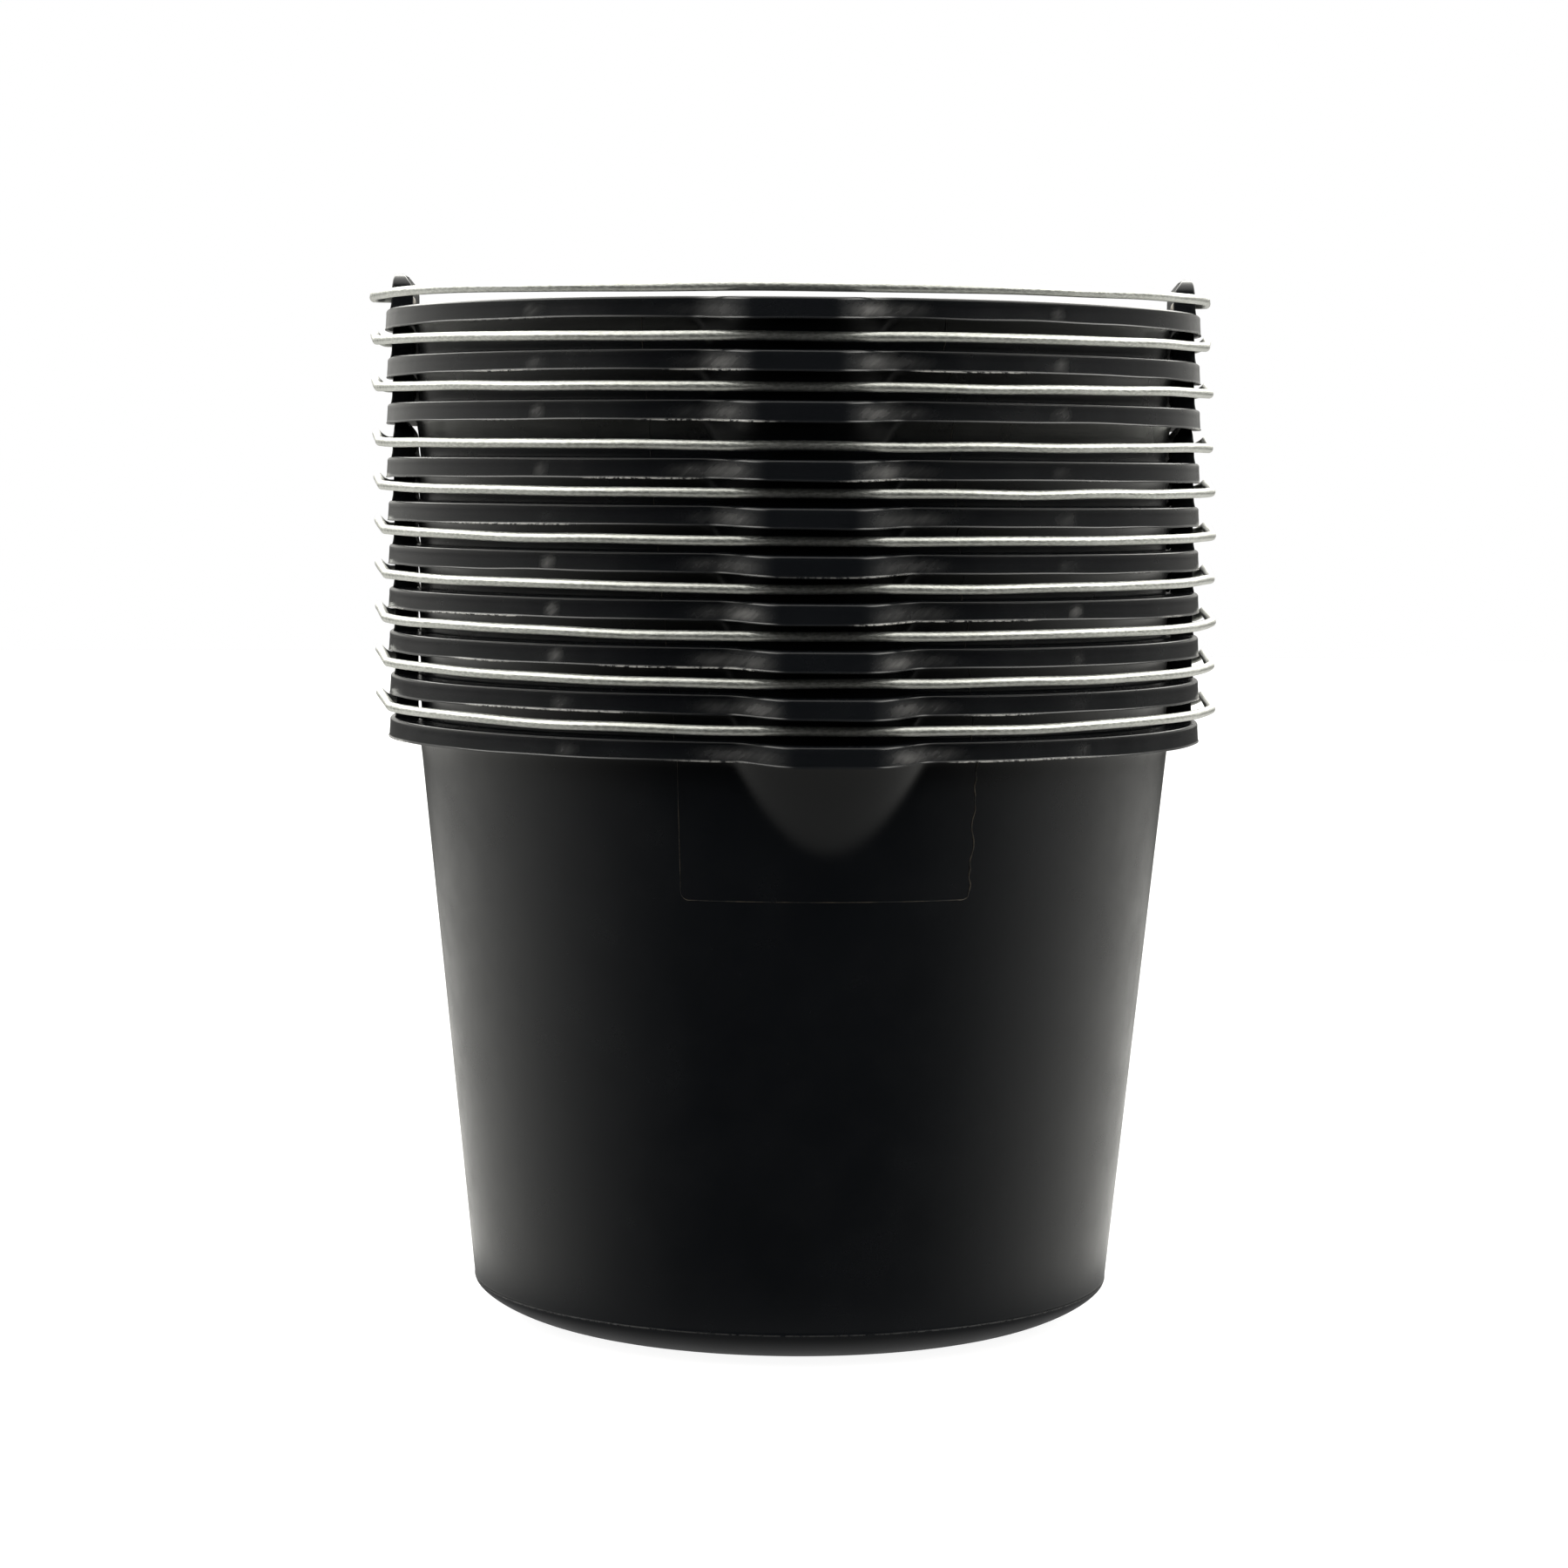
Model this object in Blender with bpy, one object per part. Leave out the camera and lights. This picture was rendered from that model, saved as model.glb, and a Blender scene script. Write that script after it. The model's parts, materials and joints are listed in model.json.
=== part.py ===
"""A stack of ten nested florist buckets, each a moulded shell with a wire bail.

Metres, +Z up. The origin is the middle of the bottom bucket's underside. The spouts face -Y,
and the bails hinge on the ears at +X and -X. Buckets are numbered from the bottom.
"""

import math

import bmesh
import bpy

MM = 0.001

# Stack
BUCKET_COUNT = 10
NEST_PITCH = 16.34 * MM
EXTRA_GAPS = {8: 3.85 * MM, 9: 0.95 * MM, 10: 1.65 * MM}
STACK_TWIST = math.radians(5.0)
STACK_LEAN = -0.18 * MM

# Shell
HEIGHT = 228.2 * MM
CONE_RADIUS = 120.7 * MM
TAPER = 0.1025
WALL = 1.2 * MM
FLOOR = 1.8 * MM
CORNER_RISE = 12.0 * MM
CORNER_RUN = 26.0 * MM
CORNER_POWER = 1.36

# Rim
RIM_RADIUS = 155.0 * MM
RIM_PLATE = 1.6 * MM
RIM_ROUND = 1.3 * MM
SKIRT_WALL = 1.5 * MM
SKIRT_DROP = 7.4 * MM

# Spout: the rim's bulge, and the scoop in the wall below it
SPOUT_REACH = 14.0 * MM
SPOUT_HALF_WIDTH = 36.0 * MM
SPOUT_FLAT = 12.0 * MM
SCOOP_REACH = 13.0 * MM
SCOOP_HALF_WIDTH = 34.0 * MM
SCOOP_DROP = 43.0 * MM
PLAIN_DROP = 12.0 * MM

# Ears
EAR_INNER = 147.8 * MM
EAR_OUTER = 151.8 * MM
EAR_TOP = 14.4 * MM
EAR_HALF_WIDTH = 14.4 * MM
EAR_SHOULDER = 13.2 * MM
EAR_ROOT = 0.8 * MM
PIVOT_RISE = 6.3 * MM
FREE_DROP = 1.1 * MM
HOLE_RADIUS = 3.2 * MM

# Bail
WIRE_RADIUS = 1.75 * MM
BAIL_RADIUS = 160.0 * MM
ELBOW_ANGLE = math.radians(15.2)
LEG_RISE = 2.8 * MM
LEG_X = 158.9 * MM
TAIL_X = 145.7 * MM
TAIL_LENGTH = 4.2 * MM
TAIL_ANGLE = math.radians(60.0)
TAIL_BEND = 2.2 * MM
EAR_BEND = 4.4 * MM
ELBOW_BEND = 6.0 * MM
BAIL_SAG = math.radians(0.8)
BAIL_SHIFT = -0.25 * MM
SHIFT_START = 5

# Mesh steps: every shell has its columns in the same directions, so nested facets stay parallel
FINE_START = math.radians(-108.0)
FINE_END = math.radians(-67.5)
FINE_STEPS = 13
COARSE_STEPS = 31
CORNER_STEPS = 3
EAR_ARC_STEPS = 8
BEND_STEPS = 2
ARC_STEPS = 11
SHARP_ANGLE = math.radians(35.0)

PLASTIC = {"colour": (0.012, 0.013, 0.014, 1.0), "roughness": 0.42, "metallic": 0.0}
GALVANISED = {"colour": (0.55, 0.56, 0.55, 1.0), "roughness": 0.38, "metallic": 1.0}


def clear_scene():
    for thing in list(bpy.data.objects):
        bpy.data.objects.remove(thing, do_unlink=True)


def make_material(name, finish):
    material = bpy.data.materials.new(name)
    material.use_nodes = True
    shader = material.node_tree.nodes["Principled BSDF"]
    shader.inputs["Base Color"].default_value = finish["colour"]
    shader.inputs["Roughness"].default_value = finish["roughness"]
    shader.inputs["Metallic"].default_value = finish["metallic"]
    return material


def link(name, data, parent=None):
    thing = bpy.data.objects.new(name, data)
    bpy.context.collection.objects.link(thing)
    thing.parent = parent
    return thing


def mesh_from(name, points, faces):
    mesh = bpy.data.meshes.new(name)
    mesh.from_pydata(points, [], faces)
    shape = bmesh.new()
    shape.from_mesh(mesh)
    bmesh.ops.recalc_face_normals(shape, faces=shape.faces)
    shape.to_mesh(mesh)
    shape.free()
    mesh.shade_smooth()
    mesh.set_sharp_from_angle(angle=SHARP_ANGLE)
    return mesh


def wall_radius(height):
    return CONE_RADIUS + TAPER * height


def swell(distance, half_width, flat):
    """1 across the flat middle of a bulge, easing to 0 at its half width."""
    share = (half_width - abs(distance)) / (half_width - flat)
    share = max(0.0, min(1.0, share))
    return share * share * (3.0 - 2.0 * share)


def corner_points():
    """The full, flattened corner from the underside up to the wall, as (radius, height)."""
    top = wall_radius(CORNER_RISE)
    points = []
    for step in range(CORNER_STEPS + 1):
        turn = 0.5 * math.pi * step / CORNER_STEPS
        run = CORNER_RUN * math.sin(turn) ** CORNER_POWER
        height = CORNER_RISE * (1.0 - max(0.0, math.cos(turn)) ** CORNER_POWER)
        points.append((top - CORNER_RUN + run, height))
    return points


def section(angle):
    """The shell's closed section at an angle from the spout: (radius, height) from the floor,
    up the outside, over the rim and down the inside."""
    along_rim = RIM_RADIUS * math.remainder(angle, 2.0 * math.pi)
    bulge = SPOUT_REACH * swell(along_rim, SPOUT_HALF_WIDTH, SPOUT_FLAT)
    scoop_share = max(0.0, 1.0 - (along_rim / SCOOP_HALF_WIDTH) ** 2)
    scoop = SCOOP_REACH * scoop_share
    knee = HEIGHT - max(PLAIN_DROP, SCOOP_DROP * scoop_share)
    under_rim = HEIGHT - RIM_PLATE
    skirt_foot = HEIGHT - SKIRT_DROP
    skirt_inside = RIM_RADIUS - SKIRT_WALL + bulge
    rim = RIM_RADIUS + bulge
    outside = corner_points() + [
        (wall_radius(knee), knee),
        (wall_radius(under_rim) + scoop, under_rim),
        (skirt_inside, under_rim),
        (skirt_inside, skirt_foot),
        (rim, skirt_foot),
        (rim, HEIGHT - RIM_ROUND),
        (rim - RIM_ROUND, HEIGHT),
    ]
    inside = [
        (wall_radius(HEIGHT) - WALL + scoop, HEIGHT),
        (wall_radius(knee) - WALL, knee),
    ]
    for radius, height in reversed(corner_points()):
        inside.append((radius - WALL + TAPER * FLOOR, height + FLOOR))
    return outside + inside


def column_directions():
    """Directions seen from above: close together across the spouts, wider elsewhere."""
    fine_span = FINE_END - FINE_START
    coarse_span = 2.0 * math.pi - fine_span
    fine = [FINE_START + fine_span * i / FINE_STEPS for i in range(FINE_STEPS)]
    coarse = [FINE_END + coarse_span * i / COARSE_STEPS for i in range(COARSE_STEPS)]
    return fine + coarse


def shell_mesh(name, twist):
    """A bucket's shell, in its own frame with the spout at -Y."""
    spout = -0.5 * math.pi
    directions = [direction - twist for direction in column_directions()]
    points = []
    for direction in directions:
        for radius, height in section(direction - spout):
            points.append((radius * math.cos(direction), radius * math.sin(direction), height))
    columns = len(directions)
    rings = len(section(0.0))
    faces = []
    for column in range(columns):
        here = column * rings
        there = (column + 1) % columns * rings
        for ring in range(rings - 1):
            faces.append((here + ring, there + ring, there + ring + 1, here + ring + 1))
    faces.append([column * rings for column in reversed(range(columns))])
    faces.append([column * rings + rings - 1 for column in range(columns)])
    return mesh_from(name, points, faces)


def ear_outline():
    """Half-round top over a foot that widens, as (sideways, up) from the hinge axis."""
    crown = EAR_TOP - PIVOT_RISE
    turns = [math.pi * i / EAR_ARC_STEPS for i in range(EAR_ARC_STEPS + 1)]
    top = [(EAR_SHOULDER * math.cos(turn), crown * math.sin(turn)) for turn in turns]
    foot = -PIVOT_RISE - EAR_ROOT
    waist = 0.5 * foot
    sides = [1.0, 0.5, 0.0, -0.5, -1.0]
    bottom = [(-EAR_HALF_WIDTH * side, foot) for side in sides]
    return top + [(-EAR_SHOULDER, waist)] + bottom + [(EAR_SHOULDER, waist)]


def ears_mesh():
    """Both ears, each a plate across the radius with the bail's hole through it."""
    outline = ear_outline()
    count = len(outline)
    points = []
    faces = []
    for side in (1.0, -1.0):
        first = len(points)
        for radius in (EAR_INNER, EAR_OUTER):
            for across, up in outline:
                points.append((side * radius, across, HEIGHT + PIVOT_RISE + up))
            for across, up in outline:
                reach = HOLE_RADIUS / math.hypot(across, up)
                points.append((side * radius, across * reach, HEIGHT + PIVOT_RISE + up * reach))
        for i in range(count):
            j = (i + 1) % count
            inner_edge = (first + i, first + j)
            inner_hole = (first + count + i, first + count + j)
            outer_edge = (first + 2 * count + i, first + 2 * count + j)
            outer_hole = (first + 3 * count + i, first + 3 * count + j)
            loop = [inner_edge, outer_edge, outer_hole, inner_hole, inner_edge]
            for (a, b), (c, d) in zip(loop, loop[1:]):
                faces.append((a, b, d, c))
    return mesh_from("ears", points, faces)


def rounded_corner(before, corner, after, bend):
    """Points of an arc of radius bend that replaces a corner of a path in the plane."""
    to_before = math.atan2(before[1] - corner[1], before[0] - corner[0])
    to_after = math.atan2(after[1] - corner[1], after[0] - corner[0])
    opening = math.remainder(to_after - to_before, 2.0 * math.pi)
    middle = to_before + 0.5 * opening
    setback = bend / abs(math.sin(0.5 * opening))
    centre = (corner[0] + setback * math.cos(middle), corner[1] + setback * math.sin(middle))
    sweep = math.copysign(math.pi, opening) - opening
    start = to_before - math.copysign(0.5 * math.pi, opening)
    turns = [start - sweep * i / BEND_STEPS for i in range(BEND_STEPS + 1)]
    return [(centre[0] + bend * math.cos(t), centre[1] + bend * math.sin(t)) for t in turns]


def bail_tail():
    """The centre line at +X about the hinge axis: the hooked tail inside the ear."""
    tip = (TAIL_X, TAIL_LENGTH)
    hook = (TAIL_X, 0.0)
    shoulder = (LEG_X, 0.0)
    path = [tip] + rounded_corner(tip, hook, shoulder, TAIL_BEND)
    forward = math.cos(TAIL_ANGLE)
    down = math.sin(TAIL_ANGLE)
    return [(x, -reach * forward, -reach * down) for x, reach in path]


def bail_leg(rise):
    """The centre line at +X: it rises as it turns forward outside the ear, then runs down to
    the elbow, level with the hinge axis."""
    hook = (TAIL_X, 0.0)
    shoulder = (LEG_X, 0.0)
    arc_step = (math.pi - 2.0 * ELBOW_ANGLE) / ARC_STEPS
    elbow, after = [
        (BAIL_RADIUS * math.cos(turn), -BAIL_RADIUS * math.sin(turn))
        for turn in (ELBOW_ANGLE, ELBOW_ANGLE + arc_step)
    ]
    ear_turn = rounded_corner(hook, shoulder, elbow, EAR_BEND)
    rising = [(x, y, rise * i / BEND_STEPS) for i, (x, y) in enumerate(ear_turn)]
    level = [(x, y, 0.0) for x, y in rounded_corner(shoulder, elbow, after, ELBOW_BEND)]
    return rising + level


def bail_points(rise, shift):
    """The whole centre line about the hinge axis, from the tail at +X to the tail at -X. What is
    outside the ears is shifted along the axis, and the runs through the holes take that up."""
    tail = bail_tail()
    leg = bail_leg(rise)
    sweep = math.pi - 2.0 * ELBOW_ANGLE
    turns = [ELBOW_ANGLE + sweep * i / ARC_STEPS for i in range(1, ARC_STEPS)]
    arc = [(BAIL_RADIUS * math.cos(t), -BAIL_RADIUS * math.sin(t), 0.0) for t in turns]
    loop = leg + arc + [(-x, y, z) for x, y, z in reversed(leg)]
    shifted = [(x + shift, y, z) for x, y, z in loop]
    return tail + shifted + [(-x, y, z) for x, y, z in reversed(tail)]


def bail_curve(rise, shift):
    curve = bpy.data.curves.new("bail_wire", "CURVE")
    curve.dimensions = "3D"
    curve.bevel_depth = WIRE_RADIUS
    curve.bevel_resolution = 2
    curve.use_fill_caps = True
    points = bail_points(rise, shift)
    line = curve.splines.new("POLY")
    line.points.add(len(points) - 1)
    for place, point in zip(line.points, points):
        place.co = (*point, 1.0)
    line.use_smooth = True
    return curve


def add_ears(shell, ears):
    cutter = link(shell.name + "_ears", ears, shell)
    cutter.hide_render = True
    cutter.display_type = "WIRE"
    union = shell.modifiers.new("ears", "BOOLEAN")
    union.operation = "UNION"
    union.solver = "EXACT"
    union.object = cutter


def stack_place(number):
    """Where a bucket's underside is: each leans a little to -X, and the top three sit loosely."""
    extra = sum(gap for bucket, gap in EXTRA_GAPS.items() if number >= bucket)
    above = number - 1
    return (above * STACK_LEAN, 0.0, above * NEST_PITCH + extra)


def build_bucket(number, ears):
    """One bucket: its shell stands on the stack, and its bail's origin is on the hinge axis. The
    top bail is free, so it has settled in its holes; the others are held up by the next skirt."""
    label = f"{number:02d}"
    twist = STACK_TWIST * (BUCKET_COUNT - number) / (BUCKET_COUNT - 1)
    shell = link("bucket_" + label, shell_mesh("shell_" + label, twist))
    shell.location = stack_place(number)
    shell.rotation_euler.z = twist
    shell.data.materials.append(make_material("plastic_" + label, PLASTIC))
    add_ears(shell, ears)
    free = number == BUCKET_COUNT
    shift = BAIL_SHIFT * max(0, number - SHIFT_START)
    bail = link("bail_" + label, bail_curve(0.0 if free else LEG_RISE, shift), shell)
    bail.location.z = HEIGHT + PIVOT_RISE - (FREE_DROP if free else 0.0)
    bail.rotation_euler.x = BAIL_SAG
    bail.data.materials.append(make_material("galvanised_" + label, GALVANISED))


def main():
    clear_scene()
    ears = ears_mesh()
    for number in range(1, BUCKET_COUNT + 1):
        build_bucket(number, ears)


main()
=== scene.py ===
"""Looks for the stack of ten nested florist buckets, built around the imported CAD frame.

Every bucket gets a finely meshed moulded shell, its two ears, the fine flash line of a mould
insert round its spout, and a galvanised wire bail. Sizes are millimetres times MM, in the frame's
own axes: +Z up, spouts towards -Y, ears at +X and -X. Places come from the frame.
"""

import json
import math

import bpy
import numpy as np
from mathutils import Matrix, Vector

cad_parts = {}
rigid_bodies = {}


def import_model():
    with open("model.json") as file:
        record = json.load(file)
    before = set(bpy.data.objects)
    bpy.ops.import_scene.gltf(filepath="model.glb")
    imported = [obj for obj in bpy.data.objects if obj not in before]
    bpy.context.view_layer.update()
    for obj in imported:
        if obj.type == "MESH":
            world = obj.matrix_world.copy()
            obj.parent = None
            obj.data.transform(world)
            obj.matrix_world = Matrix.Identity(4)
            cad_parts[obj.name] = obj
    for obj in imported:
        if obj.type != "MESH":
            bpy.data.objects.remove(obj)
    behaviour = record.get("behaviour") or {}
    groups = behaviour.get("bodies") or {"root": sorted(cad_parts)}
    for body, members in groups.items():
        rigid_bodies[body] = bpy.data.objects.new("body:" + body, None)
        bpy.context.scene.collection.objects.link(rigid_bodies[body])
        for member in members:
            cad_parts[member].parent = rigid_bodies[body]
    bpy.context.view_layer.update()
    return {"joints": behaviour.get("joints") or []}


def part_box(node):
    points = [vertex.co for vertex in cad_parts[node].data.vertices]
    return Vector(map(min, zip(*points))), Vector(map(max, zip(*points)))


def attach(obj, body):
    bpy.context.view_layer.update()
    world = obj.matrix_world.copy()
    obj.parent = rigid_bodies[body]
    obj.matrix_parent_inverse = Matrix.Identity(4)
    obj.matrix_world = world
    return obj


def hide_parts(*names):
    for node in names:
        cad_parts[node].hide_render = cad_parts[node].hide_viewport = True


MM = 0.001
FIRST_SEED = 100
BUCKET_COUNT = 10
SPOUT_DIRECTION = -0.5 * math.pi

# Shell
HEIGHT = 228.2 * MM
CONE_RADIUS = 120.7 * MM
TAPER = 0.1025
WALL = 1.2 * MM
FLOOR = 1.8 * MM
CORNER_RISE = 12.0 * MM
CORNER_RUN = 26.0 * MM
CORNER_POWER = 1.36
CORNER_LINE = 0.14 * MM
RIM_RADIUS = 155.0 * MM
RIM_PLATE = 1.6 * MM
RIM_ROUND = 1.2 * MM
SKIRT_WALL = 1.5 * MM
SKIRT_DROP = 7.4 * MM
SKIRT_FACE = 4.8 * MM
SKIRT_DRAFT = 0.30 * MM
SKIRT_INSET = 0.15 * MM
FLARE = 1.0 * MM
FLARE_START = HEIGHT - 9.0 * MM
FLARE_RISE = 6.0 * MM

# Chance unevenness of a moulded rim
UNEVEN_START = HEIGHT - 16.0 * MM
UNEVEN_RISE = 9.0 * MM
OUT_OF_ROUND = 0.27 * MM
SKIRT_DROOP = 0.28 * MM
TOP_RAGGED = 0.2
# Paler skirt patches: marks of rubbing from nesting, which at the spout's flanks are partly a
# painted sheen highlight.
RUB_AND_SHEEN_MARKS = (  # distance along the rim from the spout and spread, both in mm, and strength
    (25.0, 5.5, 1.5),
    (37.0, 8.0, 0.6),
    (99.0, 1.8, 1.1),
)

# Spout
SPOUT_REACH = 14.0 * MM
SPOUT_HALF_WIDTH = 36.0 * MM
SPOUT_FLAT = 12.0 * MM
SPOUT_DIP = 0.8 * MM
SCOOP_REACH = 13.0 * MM
SCOOP_HALF_WIDTH = 41.0 * MM
SCOOP_DROP = 45.0 * MM
SCOOP_LEAST_DROP = 8.0 * MM
SCOOP_TOE = 0.14
INSERT_HALF_WIDTH = 53.5 * MM
INSERT_DROP = 57.5 * MM
INSERT_TOP = HEIGHT - 2.2 * MM
INSERT_CORNER = 3.0 * MM
INSERT_WANDER = 0.9 * MM

# Ears
EAR_INNER = 147.6 * MM
EAR_OUTER = 152.3 * MM
EAR_TOP = 14.4 * MM
EAR_SHOULDER = 13.4 * MM
EAR_FOOT = 14.4 * MM
EAR_SQUARENESS = 2.8
PIVOT_RISE = 6.3 * MM
EAR_ROOT = 0.7 * MM
EAR_EDGE = 0.55 * MM
EAR_DRAFT = 0.7 * MM
EAR_FLARE = 0.6 * MM
EAR_LOBE = 0.9 * MM
EAR_GUSSET = 2.7 * MM
HOLE_RADIUS = 3.2 * MM

# Bail
WIRE_RADIUS = 1.75 * MM
BAIL_RADIUS = 160.0 * MM
ELBOW_ANGLE = math.radians(15.2)
LEG_RISE = 2.8 * MM
LEG_X = 158.9 * MM
TAIL_X = 145.7 * MM
TAIL_LENGTH = 4.2 * MM
TAIL_ANGLE = math.radians(60.0)
TAIL_BEND = 2.2 * MM
EAR_BEND = 4.4 * MM
ELBOW_BEND = 6.0 * MM
BAIL_SAG = math.radians(0.8)
BAIL_SHIFT = -0.25 * MM
SHIFT_START = 5
WIRE_WAVE_UP = 0.3 * MM
WIRE_WAVE_OUT = 0.5 * MM
WIRE_END_ROUND = 0.3 * MM

# Mesh steps
SPOUT_ZONE = math.radians(19.0)
SPOUT_STEPS = 72
ROUND_STEPS = 216
EAR_STEPS = 96
WIRE_SIDES = 14
INSERT_LINE_SIDES = 6
INSERT_LINE_ROUND = 0.05 * MM

# Colours
WHITE = (1.0, 1.0, 1.0, 1.0)
WARM_WHITE = (1.0, 0.99, 0.94, 1.0)
BLACK_DARKER = (0.0040, 0.0048, 0.0060, 1.0)
BLACK_LIGHTER = (0.0074, 0.0084, 0.0102, 1.0)
GRAIN_GREY = (0.030, 0.031, 0.033, 1.0)
SCUFF_GREY = (0.16, 0.155, 0.145, 1.0)
# Pale grey of the rubbing marks, partly a painted sheen highlight
WORN_SHEEN_GREY = (0.25, 0.245, 0.24, 1.0)
# Pale that paints the glints of the torn flash edges
FLASH_GLINT_PALE = (0.60, 0.59, 0.56, 1.0)
INSERT_BLACK = (0.010, 0.011, 0.011, 1.0)
INSERT_TORN = (0.085, 0.070, 0.050, 1.0)
ZINC_DARKER = (0.44, 0.45, 0.42, 1.0)
ZINC_LIGHTER = (0.72, 0.73, 0.69, 1.0)
ZINC_RUNS = (0.80, 0.81, 0.78, 1.0)
ZINC_PITS = (0.16, 0.16, 0.15, 1.0)
# Painted shade on the hooked tails
TAIL_SHADE_DARK = (0.045, 0.035, 0.028, 1.0)
FLOOR_GREY = (0.25, 0.25, 0.25, 1.0)

# Stage, in metres and watts
FLOOR_RADIUS = 6.0
FLOOR_HEIGHT = -0.2 * MM
DIM_FLOOR_RADIUS = 0.125
CLEAR_FLOOR_RADIUS = 0.20
FILL_PLACE = (0.0, -2.0, 1.2)
FILL_TARGET = (0.0, 0.0, 0.2)
FILL_SIZE = 1.6
FILL_POWER = 12.0

# Camera
SENSOR_WIDTH = 36.0
LENS = 90.62
CAMERA_PLACE = (-3.7 * MM, -1517.7 * MM, 316.4 * MM)
CAMERA_TILT = math.radians(90.0 - 4.31)
CAMERA_ROLL = math.radians(0.457)


def smooth_share(share):
    """Eases 0..1 to 0..1 with level ends; the input is clipped."""
    share = np.clip(share, 0.0, 1.0)
    return share * share * (3.0 - 2.0 * share)


def swell(distance, half_width, flat):
    """1 across the flat middle of a bulge, easing to 0 at its half width."""
    return smooth_share((half_width - np.abs(distance)) / (half_width - flat))


def waves(angle, random, lowest, highest):
    """A smooth closed wave round a ring, about -1 to 1, with a random share of each count."""
    total = np.zeros_like(angle)
    for count in range(lowest, highest + 1):
        weight = random.uniform(0.5, 1.0) / math.sqrt(count)
        total += weight * np.cos(count * angle + random.uniform(0.0, 2.0 * math.pi))
    return total / max(1e-9, np.abs(total).max())


def grid_mesh(name, rings, closed_rings, caps):
    """A mesh from an array of rings of points (ring, column, xyz), joined round every ring.
    With closed_rings the last ring joins the first; otherwise the ends may be capped."""
    ring_count, columns, _ = rings.shape
    index = np.arange(ring_count * columns).reshape(ring_count, columns)
    if closed_rings:
        index = np.vstack([index, index[:1]])
    across = np.roll(index, -1, axis=1)
    quads = np.stack([index[:-1], across[:-1], across[1:], index[1:]], axis=-1).reshape(-1, 4)
    faces = quads.tolist()
    if caps:
        faces.append(list(reversed(range(columns))))
        faces.append(list(range((ring_count - 1) * columns, ring_count * columns)))
    mesh = bpy.data.meshes.new(name)
    mesh.from_pydata(rings.reshape(-1, 3).tolist(), [], faces)
    mesh.shade_smooth()
    return mesh


def set_attribute(mesh, name, values):
    layer = mesh.attributes.new(name, "FLOAT", "POINT")
    layer.data.foreach_set("value", np.asarray(values, np.float32).ravel())


def face_outwards(mesh):
    """Turns the whole mesh inside out if its signed volume is negative."""
    places = np.empty(len(mesh.vertices) * 3)
    mesh.vertices.foreach_get("co", places)
    places = places.reshape(-1, 3)
    mesh.calc_loop_triangles()
    corners = np.empty(len(mesh.loop_triangles) * 3, np.int32)
    mesh.loop_triangles.foreach_get("vertices", corners)
    a, b, c = (places[corners.reshape(-1, 3)[:, i]] for i in range(3))
    if np.einsum("ij,ij->i", a, np.cross(b, c)).sum() < 0.0:
        mesh.flip_normals()


def add_piece(name, mesh, material, body, place):
    """Puts a mesh at its place in the stack, and makes it ride on a CAD body."""
    face_outwards(mesh)
    mesh.transform(place)
    mesh.materials.append(material)
    piece = bpy.data.objects.new(name, mesh)
    bpy.context.scene.collection.objects.link(piece)
    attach(piece, body)
    return piece


# ---------------------------------------------------------------- shell


def wall_radius(height):
    """The outer wall without its scoop: a plain cone that flares out behind the skirt."""
    flare = FLARE * smooth_share((height - FLARE_START) / FLARE_RISE)
    return CONE_RADIUS + TAPER * height + flare


def column_angles():
    """Angles from the spout: close together across it, wider round the rest."""
    fine = np.linspace(-SPOUT_ZONE, SPOUT_ZONE, SPOUT_STEPS + 1)
    rest = np.linspace(SPOUT_ZONE, 2.0 * math.pi - SPOUT_ZONE, ROUND_STEPS + 1)
    return np.concatenate([fine, rest[1:-1]])


def arc(centre_radius, centre_height, radius, start, end, steps):
    """Points of a round in a section: (radius, height) pairs from start to end degrees."""
    turns = np.radians(np.linspace(start, end, steps))
    return [
        (centre_radius + radius * math.cos(turn), centre_height + radius * math.sin(turn))
        for turn in turns
    ]


def rub_and_sheen_marks(along, random):
    """Where a skirt is painted paler: marks of rubbing on both flanks of the spout, there partly a
    painted sheen highlight, and a small mould mark on either side.
    """
    marks = np.zeros_like(along)
    for side in (-1.0, 1.0):
        for place, spread, most in RUB_AND_SHEEN_MARKS:
            strength = random.uniform(0.15, 1.0) * most
            offset = (along / MM - side * (place + random.uniform(-1.5, 1.5))) / spread
            marks += strength * np.exp(-offset * offset)
    return marks


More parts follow.
